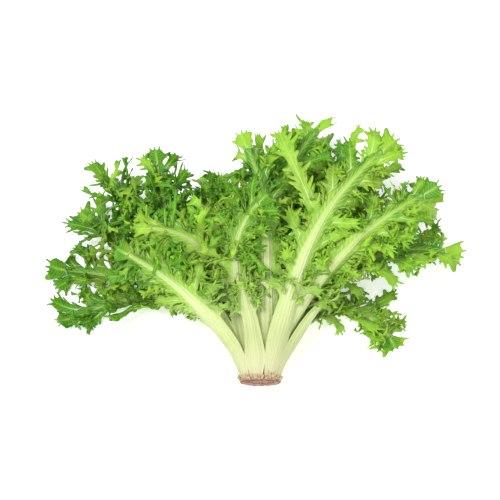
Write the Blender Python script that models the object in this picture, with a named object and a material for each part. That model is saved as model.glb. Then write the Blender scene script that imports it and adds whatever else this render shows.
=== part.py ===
"""Curly endive (frisee) head, lying on its side on a flat surface, cut end towards -Y.

One short cut stem carries the leaves in five rings, oldest and lowest outside. Every leaf is
one thin blade: a thick pale midrib with a narrow web on each side, cut to the rib into forked
lobes that bend out of the leaf's plane. Lengths are metres, +Z is up, and the head stands on
Z = 0 with its bounding box centred over the origin.
"""

import math
import random
from dataclasses import dataclass

import bmesh
import bpy
from mathutils import Quaternion, Vector
from mathutils.bvhtree import BVHTree

MM = 0.001

# The head as a whole
TILT = math.radians(20.0)  # how far the axis climbs from the surface, going away from the cut
AXIS = Vector((0.0, math.cos(TILT), math.sin(TILT)))
ACROSS = Vector((1.0, 0.0, 0.0))
UPWARD = ACROSS.cross(AXIS)
CLEARANCE = 0.4 * MM  # air kept between separate pieces

# The cut stem: a collar that the cut goes through, and a cone that the leaf bases sit round
COLLAR_RADIUS = 15.6 * MM
COLLAR_LENGTH = 6.2 * MM
COLLAR_EASE = 0.8 * MM
CUT_DISH = 1.2 * MM  # how far the middle of the cut face has shrunk in
CONE_RADIUS = 12.4 * MM
CONE_TIP_RADIUS = 1.6 * MM
CONE_LENGTH = 38.0 * MM
FLAT_SPOT = 1.2 * MM  # depth of the flat that the collar rests on
STEM_SIDES = 28
CUT_HEIGHT = COLLAR_RADIUS * math.cos(TILT) - FLAT_SPOT

# Every leaf
BLADE_THICKNESS = 0.8 * MM
MARGIN_THICKNESS = 0.6  # of a stalk, as a share of that at its crest
CREST_THICKNESS = 1.15  # of the midrib near the tip, over that of the blade
BARE_SHARE = 0.29  # of the length, from the root, that carries no lobes
BARE_LENGTH = 48.0 * MM  # of a short leaf that carries none
BARE_ROWS = (0.0, 0.28, 0.62)  # places of the rows on the bare stalk, as shares of it
LAST_LOBE = 0.96
STALK_GAP = 0.7 * MM  # air between a stalk's margin and the line halfway to its neighbour
SWELL = 0.65  # how much wider a stalk gets just past its root, over its root's width
RIB_TAPER = 1.4  # how much of its root's width a midrib has then lost by its tip
WEB_WIDTH = 3.6 * MM  # on each side of a full-sized leaf's midrib
BLADE_CROWN = 1.2 * MM  # how far the margins stand inwards of the crest, past the stalk
TIP_SPREAD = 4.5 * MM  # how far the two points of a leaf's end stand from its middle
STALK_NARROWS = (34.0 * MM, 70.0 * MM)  # distances from the root
ROOT_SHARE = 0.55  # of the spacing between lobes that a lobe's root takes up
PATH_STEPS = 60
STEM_GAP = 0.5 * MM  # air between the stem's cone and a leaf's root
OPENING_POWER = 4  # the higher, the nearer to its root a leaf reaches its spread
WANDER = 7.0  # how far round the axis a midrib wanders from its course, degrees
WANDER_RATE = 9.0  # how fast it wanders along the leaf
WANDER_PHASE = 5.0  # how differently it wanders from one leaf to the next
FACING_DOWN = 0.35  # sine of the angle round the axis from which a leaf's inner face looks down
FACE_TURN = 0.85  # how far its face turns level by its tip
LEAST_CLIMB = 0.12  # of a leaf that has come down to its ring's lowest height
FLOOR_GAP = 0.05 * MM
FLOOR_EASE = 20.0 * MM  # height over which a falling leaf turns to lie along the surface
PRESSED = 2.0 * MM  # the most that the surface presses a lobe flat

# Every lobe: it leaves the margin, bends in two steps, and ends in a fork
LEAST_LENGTH = 0.55  # of the first lobes, as a share of the full length
LENGTH_LOST = 0.35  # by the last lobes
SWEEP = (20.0, 38.0, 24.0)  # towards the leaf's tip: at the root, added by the tip, at random
TWIST = 36.0  # degrees, at random
BEND_INWARD = 0.75  # the middle of the random bends is a quarter inwards
LOBE_ROWS = ((0.42, 1.0), (0.38, 1.15))  # share of the length to each, and of the width
FORK = 0.1  # how far the fork is cut in, as a share of the width
REACH = 0.26  # of the fork's points, as a share of the length
POINTS = ((0.8, -0.62), (1.1, 0.5))  # shares of that reach and of the width
TOOTH = (0.75, 0.5)  # a tooth's reach out and on, as shares of the width
ROOT_OVERLAP = 0.02  # of a lobe's first part, left out of the tests against other leaves
OWN_OVERLAP = 0.25  # the same against its own leaf


@dataclass(frozen=True)
class Ring:
    """A ring of leaf bases at one height on the stem."""

    name: str
    attach: float  # distance of the roots from the cut face, along the axis
    flare: float  # angle of the leaf bases from the axis, degrees
    floor: float  # lowest height of the ring's midribs
    first: float  # where round the axis its first leaf stands, degrees; 90 is on top
    base_thickness: float
    stalk_width: float  # the most that a bare stalk widens to beside its neighbours
    lobe_pairs: int
    lobe_length: float
    lobe_width: float
    curl: float  # the most that a lobe bends out of the leaf's plane, degrees
    toothed: bool  # whether each lobe has a tooth beside its fork


@dataclass(frozen=True)
class Leaf:
    """One leaf: how it leaves the axis, and how long it is."""

    spread: float  # angle from the axis that the leaf opens to, degrees
    tip: float  # that angle at its tip
    sway: float  # how far round the axis its tip has moved, degrees
    length: float
    droop: float
    size: float = 1.0  # of its lobes, beside its ring's
    branch: tuple = ()  # pair, side, length and bend of a lobe that outgrows the others
    shut: float = 0.0  # share of its length before it opens further than its ring does


RINGS = (
    Ring("outer", 6.6 * MM, 20.0, 0.9 * MM, 12.0, 2.6 * MM, 17 * MM, 7, 28 * MM, 8.0 * MM, 60.0, True),
    Ring("second", 12.0 * MM, 16.0, 11.0 * MM, 34.5, 2.4 * MM, 15 * MM, 7, 28 * MM, 7.0 * MM, 75.0, True),
    Ring("third", 18.0 * MM, 12.0, 23.0 * MM, 35.0, 2.2 * MM, 12 * MM, 6, 26 * MM, 5.6 * MM, 90.0, True),
    Ring("inner", 24.0 * MM, 9.0, 34.0 * MM, 10.0, 2.0 * MM, 8 * MM, 5, 22 * MM, 4.6 * MM, 105.0, False),
    Ring("heart", 30.0 * MM, 6.0, 44.0 * MM, 18.0, 1.6 * MM, 6 * MM, 4, 18 * MM, 4.0 * MM, 120.0, False),
)

LEAVES = {
    "outer": (
        Leaf(42, 99, -6, 183 * MM, 0.2, 1.1),
        Leaf(35, 50, -6, 206 * MM, 0.9, branch=(3, 1, 2.6, 0.6)),
        Leaf(32, 44, 10, 74 * MM, 0.0, 0.5),
        Leaf(56, 62, 0, 140 * MM, 0.2),
        Leaf(76, 122, 12, 180 * MM, 0.5, 1.1, shut=0.14),
        Leaf(100, 92, -36, 204 * MM, 0.3, 1.1, shut=0.12),
        Leaf(25, 10, 0, 150 * MM, 0.0),
        Leaf(68, 150, 0, 138 * MM, 0.3, 1.1, shut=0.14),
    ),
    "second": (
        Leaf(50, 56, 0, 190 * MM, 0.6),
        Leaf(24, 36, 40, 178 * MM, 0.6),
        Leaf(26, 60, -80, 145 * MM, 0.3),
        Leaf(38, 5, 0, 182 * MM, 0.1),
        Leaf(76, 62, 0, 196 * MM, 0.2, 1.1, shut=0.1),
        Leaf(40, 45, -30, 170 * MM, 0.0),
        Leaf(34, 10, 0, 214 * MM, 0.0),
        Leaf(50, 48, 0, 195 * MM, 0.1),
    ),
    "third": (
        Leaf(42, 84, -28, 165 * MM, 0.2),
        Leaf(15, 36, -88, 199 * MM, 0.6),
        Leaf(34, 90, 10, 150 * MM, 0.1),
        Leaf(48, 40, 5, 200 * MM, 0.1, 1.2),
        Leaf(34, 30, -10, 168 * MM, 0.1),
        Leaf(24, 16, 10, 200 * MM, 0.1),
        Leaf(38, 24, 0, 192 * MM, 0.1),
    ),
    "inner": (
        Leaf(28, 20, 0, 185 * MM, 0.1),
        Leaf(10, 24, 50, 164 * MM, 0.4),
        Leaf(30, 50, 0, 130 * MM, 0.1),
        Leaf(38, 40, 0, 150 * MM, 0.1),
        Leaf(25, 20, 0, 150 * MM, 0.1),
        Leaf(25, 20, 0, 182 * MM, 0.1),
    ),
    "heart": (
        Leaf(18, 14, 0, 100 * MM, 0.1),
        Leaf(4, 22, 0, 90 * MM, 0.3),
        Leaf(28, 40, 0, 95 * MM, 0.1),
        Leaf(18, 20, 0, 110 * MM, 0.1),
        Leaf(18, 20, 0, 110 * MM, 0.1),
    ),
}

# What a lobe tries, in order, until it is clear of what is there: share of its length, and
# share of its bend. One that is clear in none of these ways is left out.
LOBE_TRIES = (
    (1.0, 1.0), (1.0, -0.6), (0.8, 0.4), (0.8, 1.3), (0.8, -1.2), (0.6, 0.8), (0.6, -0.8),
    (0.6, 0.0), (0.42, 0.7), (0.42, -0.7), (0.3, 0.0),
)


def radial(angle):
    """The direction out of the axis at an angle round it, 0 at +X and 90 on top."""
    return math.cos(angle) * ACROSS + math.sin(angle) * UPWARD


def smooth(low, high, value):
    """0 below low, 1 above high, and an eased value between them."""
    share = min(1.0, max(0.0, (value - low) / (high - low)))
    return share * share * (3.0 - 2.0 * share)


def cone_radius(along):
    """The radius of the stem's cone at a distance from the cut face."""
    share = (along - COLLAR_LENGTH) / (CONE_LENGTH - COLLAR_LENGTH)
    return CONE_RADIUS + share * (CONE_TIP_RADIUS - CONE_RADIUS)


@dataclass
class Station:
    """One place along a midrib, with the leaf's own directions there."""

    share: float
    centre: Vector
    along: Vector
    side: Vector
    inward: Vector  # towards the leaf's inner face
    room: float = 0.0  # half of the distance to the nearest midrib of the same ring


def midrib(ring, leaf, angle):
    """The line of a leaf's midrib, as stations an equal distance apart.

    It opens quickly from its ring's flare to its spread, drifts round the axis, droops, and
    turns to lie along the surface where it would meet it.
    """
    start = math.radians(angle)
    radius = cone_radius(ring.attach) + STEM_GAP + ring.base_thickness / 2
    centre = Vector((0.0, 0.0, CUT_HEIGHT)) + AXIS * ring.attach + radial(start) * radius
    face_up = 1.0 if math.sin(start) < FACING_DOWN else -1.0
    stations = []
    for step in range(PATH_STEPS + 1):
        share = step / PATH_STEPS
        opened = max(0.0, share - leaf.shut) / (1.0 - leaf.shut)
        opening = ring.flare + (leaf.spread - ring.flare) * (1 - (1 - opened) ** OPENING_POWER)
        opening = math.radians(opening + (leaf.tip - leaf.spread) * smooth(0.3, 1.0, share))
        wandering = math.sin(WANDER_RATE * share + WANDER_PHASE * start)
        drift = leaf.sway * share**1.5 + WANDER * share * wandering
        outward = radial(start + math.radians(drift))
        along = math.cos(opening) * AXIS + math.sin(opening) * outward
        along.z -= leaf.droop * share * share
        height = centre.z - ring.floor
        if along.z < 0.0:
            along.z *= min(1.0, max(0.0, height / FLOOR_EASE))
        if height < 0.0:
            along.z = max(along.z, LEAST_CLIMB)
        along.normalize()
        inward = math.sin(opening) * AXIS - math.cos(opening) * outward
        inward = inward.lerp(Vector((0.0, 0.0, face_up)), FACE_TURN * smooth(0.1, 0.9, share))
        inward = (inward - inward.dot(along) * along).normalized()
        stations.append(Station(share, centre.copy(), along, along.cross(inward), inward))
        centre = centre + along * (leaf.length / PATH_STEPS)
    return stations


def measure_room(paths):
    """Sets how much room each station has beside the other midribs of its ring."""
    for path in paths:
        others = [station.centre for other in paths if other is not path for station in other]
        for station in path:
            station.room = min((centre - station.centre).length for centre in others) / 2


def station_at(stations, share):
    """The station at any share of the length, between the two nearest."""
    place = share * (len(stations) - 1)
    first = stations[min(int(place), len(stations) - 2)]
    second = stations[min(int(place), len(stations) - 2) + 1]
    part = place - int(place) if place < len(stations) - 1 else 1.0
    along = first.along.lerp(second.along, part).normalized()
    inward = first.inward.lerp(second.inward, part)
    inward = (inward - inward.dot(along) * along).normalized()
    centre = first.centre.lerp(second.centre, part)
    room = first.room + (second.room - first.room) * part
    return Station(share, centre, along, along.cross(inward), inward, room)


def bare_share(leaf):
    """The share of a leaf's length that is a bare stalk."""
    return max(BARE_SHARE, min(0.7, BARE_LENGTH / leaf.length))


def lobe_shares(ring, leaf):
    """Where each pair of lobes has the two ends of its roots, as shares of the length."""
    bare = bare_share(leaf)
    pairs = max(2, round(ring.lobe_pairs * min(1.0, leaf.length / (120 * MM)) ** 0.5))
    pitch = (LAST_LOBE - bare) / pairs
    return [(bare + i * pitch, bare + (i + ROOT_SHARE) * pitch) for i in range(pairs)]


def base_half_width(ring):
    """Half the width of a leaf's root, so that the ring closes round the stem."""
    radius = cone_radius(ring.attach) + STEM_GAP + ring.base_thickness / 2
    return radius * math.sin(math.pi / len(LEAVES[ring.name])) - 0.7 * MM


def half_width(ring, leaf, at):
    """Half the width of midrib and web together; a bare stalk spreads into the room it has."""
    share = at.share
    base = base_half_width(ring)
    rib = base * (1 + SWELL * smooth(0.0, 0.15, share) - RIB_TAPER * smooth(0.1, 0.8, share))
    stalk = min(at.room - STALK_GAP, ring.stalk_width / 2 * min(1.0, leaf.size))
    rib += max(0.0, stalk - rib) * (1 - smooth(*STALK_NARROWS, share * leaf.length))
    grown = smooth(0.25, 0.5, share) * (1 - 0.75 * smooth(0.7, 1.0, share))
    web = WEB_WIDTH * leaf.size * grown
    return rib + web


def half_thickness(ring, share, at_crest):
    """Half the thickness, at the midrib's crest or at the margin."""
    blade = BLADE_THICKNESS / 2
    thick = ring.base_thickness / 2 * (1.0 if at_crest else MARGIN_THICKNESS)
    thin = blade * (CREST_THICKNESS if at_crest else 1.0)
    return thick + (thin - thick) * smooth(0.0, 0.9, share)


def crown(ring, share):
    """How far the margins stand inwards of the crest: round the stem at the root, then less."""
    radius = cone_radius(ring.attach) + ring.base_thickness
    at_root = base_half_width(ring) ** 2 / (2 * radius)
    return at_root + (BLADE_CROWN - at_root) * smooth(0.0, 0.3, share)


def above_floor(point, half):
    """The point, or the one above it where it would sink into the surface."""
    return Vector((point.x, point.y, max(point.z, half + FLOOR_GAP)))


def rib_rows(ring, leaf, stations, shares):
    """Left margin, crest and right margin at each share, each with its half thickness."""
    rows = []
    for share in shares:
        at = station_at(stations, share)
        half = half_width(ring, leaf, at)
        lift = at.inward * crown(ring, share)
        edge = half_thickness(ring, share, False)
        crest = half_thickness(ring, share, True)
        rows.append((
            (above_floor(at.centre - at.side * half + lift, edge), edge),
            (above_floor(at.centre, crest), crest),
            (above_floor(at.centre + at.side * half + lift, edge), edge),
        ))
    return rows


@dataclass
class Lobe:
    """A lobe's points in the middle of its blade: rows of two, and its two forked tips."""

    rows: list
    fork: Vector
    tips: tuple
    tooth: Vector

    def depth(self):
        """How far its lowest point is under the surface that the head lies on."""
        return -min(point.z for point in (*self.rows[1], *self.rows[2], *self.tips, self.tooth))

    def lift(self):
        """Moves the points that would sink into the surface up to it."""
        half = BLADE_THICKNESS / 2
        self.rows = [self.rows[0], *(tuple(above_floor(p, half) for p in row) for row in self.rows[1:])]
        self.fork = above_floor(self.fork, half)
        self.tips = tuple(above_floor(tip, half) for tip in self.tips)
        self.tooth = above_floor(self.tooth, half)


def lobe_shape(root, at, hand, ring, leaf, draw, length_share, bend_share):
    """The lobe that grows from the root edge (nearer, further) on one side of the leaf.

    hand is -1 on the left and 1 on the right. draw holds the lobe's own random numbers. A
    positive bend is towards the leaf's inner face.
    """
    share = at.share
    grown = LEAST_LENGTH + (1 - LEAST_LENGTH) * smooth(bare_share(leaf), 0.6, share)
    length = ring.lobe_length * leaf.size * grown * (1 - LENGTH_LOST * smooth(0.7, 1.0, share))
    length *= length_share * (0.75 + 0.5 * draw["length"])
    width = ring.lobe_width * leaf.size ** 0.5 * (0.85 + 0.3 * draw["width"])
    at_root, by_tip, at_random = SWEEP
    sweep = math.radians(at_root + by_tip * share + at_random * (draw["sweep"] - 0.5))
    bend = math.radians(ring.curl) * (2 * draw["bend"] - BEND_INWARD) * bend_share
    twist = math.radians(TWIST) * (draw["twist"] - 0.5)

    out = at.side * hand
    heading = out * math.cos(sweep) + at.along * math.sin(sweep)
    across = at.along * math.cos(sweep) - out * math.sin(sweep)
    rows = [root]
    centre = (root[0] + root[1]) / 2
    for part, wide in LOBE_ROWS:
        heading = Quaternion(across, bend * 0.5 * -hand) @ heading
        across = Quaternion(heading, twist * 0.5) @ across
        centre = centre + heading * length * part
        rows.append((centre - across * width / 2 * wide, centre + across * width / 2 * wide))
    heading = Quaternion(across, bend * 0.25 * -hand) @ heading
    fork = centre - heading * width * FORK
    tips = tuple(
        centre + heading * length * REACH * far + across * width * wide for far, wide in POINTS
    )
    tooth = (rows[1][1] + rows[2][1]) / 2 + (across * TOOTH[0] + heading * TOOTH[1]) * width
    return Lobe(rows, fork, tips, tooth)


def lobe_triangles(lobe, left_out):
    """The lobe's points and faces, leaving out that share of its first part, at the root."""
    near = [p.lerp(q, left_out) for p, q in zip(lobe.rows[0], lobe.rows[1])]
    points = [*near, *lobe.rows[1], *lobe.rows[2], lobe.fork, *lobe.tips, lobe.tooth]
    faces = [(0, 1, 3), (0, 3, 2), (2, 3, 6), (2, 6, 4), (3, 5, 6), (4, 6, 7), (6, 5, 8), (3, 9, 5)]
    return points, faces


def slab(points, faces, halves):
    """A closed body round thin faces; halves are its thicknesses to each side, by point."""
    normals = [Vector() for _ in points]
    for face in faces:
        a, b, c = (points[i] for i in face)
        normal = (b - a).cross(c - a)
        for i in face:
            normals[i] += normal
    lifts = [n.normalized() * half for n, half in zip(normals, halves)]
    count = len(points)
    body = [p + n for p, n in zip(points, lifts)] + [p - n for p, n in zip(points, lifts)]
    sides = {}
    for a, b, c in faces:
        for edge in ((a, b), (b, c), (c, a)):
            if (edge[1], edge[0]) in sides:
                del sides[(edge[1], edge[0])]
            else:
                sides[edge] = True
    made = list(faces) + [(c + count, b + count, a + count) for a, b, c in faces]
    made += [(a, a + count, b + count, b) for a, b in sides]
    return body, made


class Space:
    """What has been placed so far, so that the next piece can be kept clear of it."""

    def __init__(self):
        self.placed = []

    def body(self, points, faces, halves):
        """A piece with half of the clearance round it, ready to be tested or added."""
        points, faces = slab(points, faces, [half + CLEARANCE / 2 for half in halves])
        low = Vector([min(p[i] for p in points) for i in range(3)])
        high = Vector([max(p[i] for p in points) for i in range(3)])
        return low, high, BVHTree.FromPolygons(points, faces)

    def crossings(self, body):
        """The names of the pieces that the body would cross, once for each place."""
        low, high, tree = body
        return [
            name for name, other_low, other_high, other in self.placed
            if all(low[i] <= other_high[i] and other_low[i] <= high[i] for i in range(3))
            and tree.overlap(other)
        ]

    def lobe_fits(self, name, lobe):
        """Adds the lobe to its leaf if it is clear, of its own leaf too past its root."""
        if lobe.depth() > PRESSED:
            return False
        lobe.lift()
        points, faces = lobe_triangles(lobe, ROOT_OVERLAP)
        whole = self.body(points, faces, [BLADE_THICKNESS / 2] * len(points))
        if any(other != name for other in self.crossings(whole)):
            return False
        points, faces = lobe_triangles(lobe, OWN_OVERLAP)
        outer = self.body(points, faces, [BLADE_THICKNESS / 2] * len(points))
        if self.crossings(outer):
            return False
        self.placed.append((name, *whole))
        return True

    def add(self, name, body):
        """Adds a piece that is already known to be clear."""
        self.placed.append((name, *body))


def split_between(first, second):
    """Splits the face that two vertices share by a new edge from one to the other."""
    face = next(face for face in first.link_faces if second in face.verts)
    bmesh.utils.face_split(face, first, second)


def extrude_chain(mesh, chain, targets):
    """Extrudes an open chain of vertices, and returns the new ones, moved to their targets."""
    edges = [mesh.edges.get(pair) for pair in zip(chain, chain[1:])]
    made = bmesh.ops.extrude_edge_only(mesh, edges=edges)["geom"]
    new = {item for item in made if isinstance(item, bmesh.types.BMVert)}
    ordered = [
        next(edge.other_vert(vert) for edge in vert.link_edges if edge.other_vert(vert) in new)
        for vert in chain
    ]
    for vert, target in zip(ordered, targets):
        vert.co = target
    return ordered


def pointed(mesh, first, second, tip):
    """A triangle that ends in a point, on the edge from first to second."""
    vert = mesh.verts.new(tip)
    mesh.faces.new((first, second, vert))
    return vert


class Blade:
    """The thin sheet of one leaf while it grows; half thicknesses ride on its vertices."""

    def __init__(self, rows):
        self.mesh = bmesh.new()
        self.half = self.mesh.verts.layers.float.new("half")
        self.rows = [[self.mesh.verts.new(point) for point, _ in rows[0]]]
        for pair in zip(self.rows[0], self.rows[0][1:]):
            self.mesh.edges.new(pair)
        for row in rows[1:]:
            self.rows.append(extrude_chain(self.mesh, self.rows[-1], [point for point, _ in row]))
            for vert, beyond in zip(self.rows[-2], self.rows[-1][1:]):
                split_between(vert, beyond)
        for verts, row in zip(self.rows, rows):
            for vert, (_, half) in zip(verts, row):
                vert[self.half] = half

    def set_half(self, verts):
        """Gives some vertices the blade's own thickness."""
        for vert in verts:
            vert[self.half] = BLADE_THICKNESS / 2

    def add_end(self, points):
        """Ends the leaf in two points beyond its last row."""
        left, crest, right = self.rows[-1]
        pairs = ((left, crest), (crest, right))
        self.set_half([pointed(self.mesh, *pair, point) for pair, point in zip(pairs, points)])

    def add_lobe(self, row, hand, lobe, toothed):
        """Grows a lobe from the margin between a row and the next."""
        margin = 0 if hand < 0 else 2
        chain = [self.rows[row][margin], self.rows[row + 1][margin]]
        first = extrude_chain(self.mesh, chain, lobe.rows[1])
        split_between(chain[0], first[1])
        last = extrude_chain(self.mesh, first, lobe.rows[2])
        _, fork = bmesh.utils.edge_split(self.mesh.edges.get(last), last[0], 0.5)
        fork.co = lobe.fork
        split_between(first[0], fork)
        split_between(first[1], fork)
        tips = [
            pointed(self.mesh, last[0], fork, lobe.tips[0]),
            pointed(self.mesh, fork, last[1], lobe.tips[1]),
        ]
        if toothed:
            tips.append(pointed(self.mesh, first[1], last[1], lobe.tooth))
        self.set_half([*first, *last, fork, *tips])

    def thicken(self):
        """Closes the sheet into a solid whose two faces are split into triangles alike."""
        mesh = self.mesh
        bmesh.ops.recalc_face_normals(mesh, faces=mesh.faces[:])
        mesh.normal_update()
        lift = mesh.verts.layers.float_vector.new("lift")
        for vert in mesh.verts:
            vert[lift] = vert.normal * vert[self.half]
        sheet = mesh.verts[:]
        made = bmesh.ops.extrude_face_region(mesh, geom=mesh.faces[:])["geom"]
        for vert in made:
            if isinstance(vert, bmesh.types.BMVert):
                vert.co += vert[lift]
        for vert in sheet:
            vert.co -= vert[lift]
        bmesh.ops.recalc_face_normals(mesh, faces=mesh.faces[:])
        return mesh


def material(name, colour, roughness):
    """A plain finish of one colour."""
    made = bpy.data.materials.new(name)
    made.use_nodes = True
    shader = made.node_tree.nodes["Principled BSDF"]
    shader.inputs["Base Color"].default_value = (*colour, 1.0)
    shader.inputs["Roughness"].default_value = roughness
    shader.inputs["Metallic"].default_value = 0.0
    return made


def add_object(name, mesh, finish, parent):
    """Makes a named object of a mesh, carried by its parent."""
    data = bpy.data.meshes.new(name)
    mesh.to_mesh(data)
    mesh.free()
    data.materials.append(finish)
    made = bpy.data.objects.new(name, data)
    made.parent = parent
    bpy.context.scene.collection.objects.link(made)
    return made


def stem_profile():
    """Distance along the axis and radius, from the middle of the cut face to the cone's tip."""
    return (
        (CUT_DISH, 0.0),
        (CUT_DISH * 0.6, COLLAR_RADIUS * 0.5),
        (0.0, COLLAR_RADIUS - COLLAR_EASE),
        (COLLAR_EASE, COLLAR_RADIUS),
        (COLLAR_LENGTH - COLLAR_EASE, COLLAR_RADIUS),
        (COLLAR_LENGTH, COLLAR_RADIUS - COLLAR_EASE),
        (COLLAR_LENGTH, CONE_RADIUS),
        (CONE_LENGTH, CONE_TIP_RADIUS),
        (CONE_LENGTH + 1.0 * MM, 0.0),
    )


def build_stem(parent, finish):
    """The cut stem, turned about the axis and flattened where it rests."""
    mesh = bmesh.new()
    origin = Vector((0.0, 0.0, CUT_HEIGHT))
    line = [origin + AXIS * along + ACROSS * radius for along, radius in stem_profile()]
    verts = [mesh.verts.new(point) for point in line]
    edges = [mesh.edges.new(pair) for pair in zip(verts, verts[1:])]
    bmesh.ops.spin(
        mesh, geom=verts + edges, cent=origin, axis=AXIS, angle=math.tau, steps=STEM_SIDES,
        use_merge=True,
    )
    bmesh.ops.remove_doubles(mesh, verts=mesh.verts[:], dist=0.01 * MM)
    below = bmesh.ops.bisect_plane(
        mesh, geom=mesh.verts[:] + mesh.edges[:] + mesh.faces[:], plane_co=(0, 0, 0),
        plane_no=(0, 0, -1), clear_outer=True,
    )["geom_cut"]
    rim = [item for item in below if isinstance(item, bmesh.types.BMEdge)]
    bmesh.ops.contextual_create(mesh, geom=rim)
    bmesh.ops.recalc_face_normals(mesh, faces=mesh.faces[:])
    return add_object("stem", mesh, finish, parent)


def lobe_draws(name, count):
    """The random numbers of a leaf's lobes, in order from the root, left then right."""
    source = random.Random(f"curly endive {name}")
    keys = ("length", "width", "sweep", "bend", "twist")
    return [{key: source.random() for key in keys} for _ in range(2 * count)]


@dataclass
class Growth:
    """A leaf whose midrib and web are placed, and whose lobes are still to come."""

    name: str
    ring: Ring
    leaf: Leaf
    stations: list
    roots: list
    blade: Blade
    tips: tuple


def end_points(leaf, end):
    """The two points that a leaf ends in."""
    left = end.centre - end.side * TIP_SPREAD * leaf.size - end.along * TIP_SPREAD
    right = end.centre + end.side * TIP_SPREAD * leaf.size
    return tuple(above_floor(point, BLADE_THICKNESS / 2) for point in (left, right))


def rib_body(space, rows, tips):
    """The midrib and web as a piece to be kept clear of, from their rows of three points."""
    points = [*(point for row in rows for point, _ in row), *tips]
    halves = [*(half for row in rows for _, half in row), *(BLADE_THICKNESS / 2 for _ in tips)]
    last = len(points) - 2
    faces = [(last - 3, last - 2, last), (last - 2, last - 1, last + 1)]
    for i in range(0, last - 3, 3):
        faces += [(i, i + 1, i + 4), (i, i + 4, i + 3)]
        faces += [(i + 1, i + 2, i + 5), (i + 1, i + 5, i + 4)]
    return space.body(points, faces, halves)


def grow_ring(space, ring):
    """The midribs and webs of one ring's leaves."""
    leaves = LEAVES[ring.name]
    paths = [
        midrib(ring, leaf, ring.first + number * 360.0 / len(leaves))
        for number, leaf in enumerate(leaves)
    ]
    measure_room(paths)
    grown = []
    for number, (leaf, stations) in enumerate(zip(leaves, paths)):
        name = f"{ring.name}_leaf_{number + 1:02d}"
        bare = bare_share(leaf)
        roots = lobe_shares(ring, leaf)
        shares = [*(bare * row for row in BARE_ROWS), *(share for pair in roots for share in pair)]
        rows = rib_rows(ring, leaf, stations, shares)
        tips = end_points(leaf, stations[-1])
        space.add(name, rib_body(space, rows, tips))
        grown.append(Growth(name, ring, leaf, stations, roots, Blade(rows), tips))
    return grown


def fitting_lobe(space, growth, pair, hand, draw):
    """The first form of a lobe that is clear of what is there, or None."""
    near, far = growth.roots[pair]
    row = len(BARE_ROWS) + 2 * pair
    margin = 0 if hand < 0 else 2
    root = tuple(growth.blade.rows[row + i][margin].co.copy() for i in (0, 1))
    outgrowth = 1.0
    if growth.leaf.branch[:2] == (pair, hand):
        outgrowth, draw["bend"] = growth.leaf.branch[2:]
    at = station_at(growth.stations, (near + far) / 2)
    for length_share, bend_share in LOBE_TRIES:
        lobe = lobe_shape(
            root, at, hand, growth.ring, growth.leaf, draw, length_share * outgrowth, bend_share
        )
        if space.lobe_fits(growth.name, lobe):
            return lobe
    return None


def grow_lobes(space, growth):
    """The lobes of one leaf, in pairs from the root."""
    draws = iter(lobe_draws(growth.name, len(growth.roots)))
    for pair in range(len(growth.roots)):
        for hand in (-1, 1):
            lobe = fitting_lobe(space, growth, pair, hand, next(draws))
            if lobe:
                row = len(BARE_ROWS) + 2 * pair
                growth.blade.add_lobe(row, hand, lobe, growth.ring.toothed)


def build_leaves(parent, finish):
    """All the leaves: first every midrib and web, then the lobes, each clear of what is there."""
    space = Space()
    grown = [growth for ring in RINGS for growth in grow_ring(space, ring)]
    for growth in grown:
        grow_lobes(space, growth)
        growth.blade.add_end(growth.tips)
        add_object(growth.name, growth.blade.thicken(), finish, parent)


def clear_scene():
    """Removes everything that the scene starts with."""
    for item in list(bpy.data.objects):
        bpy.data.objects.remove(item)


def centre_over_origin(parent):
    """Moves the head so that its box is centred over the origin and its lowest point is at 0."""
    bpy.context.view_layer.update()
    corners = [
        item.matrix_world @ vert.co for item in parent.children for vert in item.data.vertices
    ]
    low = Vector([min(corner[i] for corner in corners) for i in range(3)])
    high = Vector([max(corner[i] for corner in corners) for i in range(3)])
    parent.location = (-(low.x + high.x) / 2, -(low.y + high.y) / 2, -low.z)


def main():
    clear_scene()
    head = bpy.data.objects.new("head", None)
    bpy.context.scene.collection.objects.link(head)
    build_stem(head, material("stem_flesh", (0.80, 0.62, 0.40), 0.6))
    build_leaves(head, material("leaf_green", (0.20, 0.42, 0.045), 0.5))
    centre_over_origin(head)


main()
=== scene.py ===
"""Looks of a curly endive (frisee) head that lies on its side on a pale surface.

Every leaf is grown again from the measures of its plain solid, finer: a midrib with a waved web,
lobes with teeth and forked ends, and small curled frills between them. The cut stem gets its
browned, torn rim. Lengths are metres and +Z is up.
"""

import logging
import math
import random
from dataclasses import dataclass, field
from enum import Enum
from itertools import product

import bmesh
import bpy
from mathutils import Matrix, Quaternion, Vector
from mathutils.kdtree import KDTree


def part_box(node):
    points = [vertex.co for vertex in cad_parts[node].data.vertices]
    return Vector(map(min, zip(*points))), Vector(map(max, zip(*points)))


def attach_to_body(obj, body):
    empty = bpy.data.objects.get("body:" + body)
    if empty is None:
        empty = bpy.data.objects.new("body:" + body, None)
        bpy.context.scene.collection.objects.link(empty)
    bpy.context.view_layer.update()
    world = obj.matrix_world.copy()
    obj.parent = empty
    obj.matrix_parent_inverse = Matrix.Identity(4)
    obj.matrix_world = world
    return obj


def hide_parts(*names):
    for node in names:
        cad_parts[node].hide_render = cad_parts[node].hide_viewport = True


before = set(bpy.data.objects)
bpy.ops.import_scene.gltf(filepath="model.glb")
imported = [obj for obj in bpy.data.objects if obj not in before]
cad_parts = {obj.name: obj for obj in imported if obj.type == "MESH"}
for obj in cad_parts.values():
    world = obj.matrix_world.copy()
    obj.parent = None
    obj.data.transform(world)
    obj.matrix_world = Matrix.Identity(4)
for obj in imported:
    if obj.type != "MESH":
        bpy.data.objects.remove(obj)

LOG = logging.getLogger("curly endive")
MM = 0.001
Colour = tuple[float, float, float]
Chain = list[bmesh.types.BMVert]  # vertices in order along a row or a margin

TILT = math.radians(20.0)
AXIS = Vector((0.0, math.cos(TILT), math.sin(TILT)))
ACROSS = Vector((1.0, 0.0, 0.0))
UPWARD = ACROSS.cross(AXIS)

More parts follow.
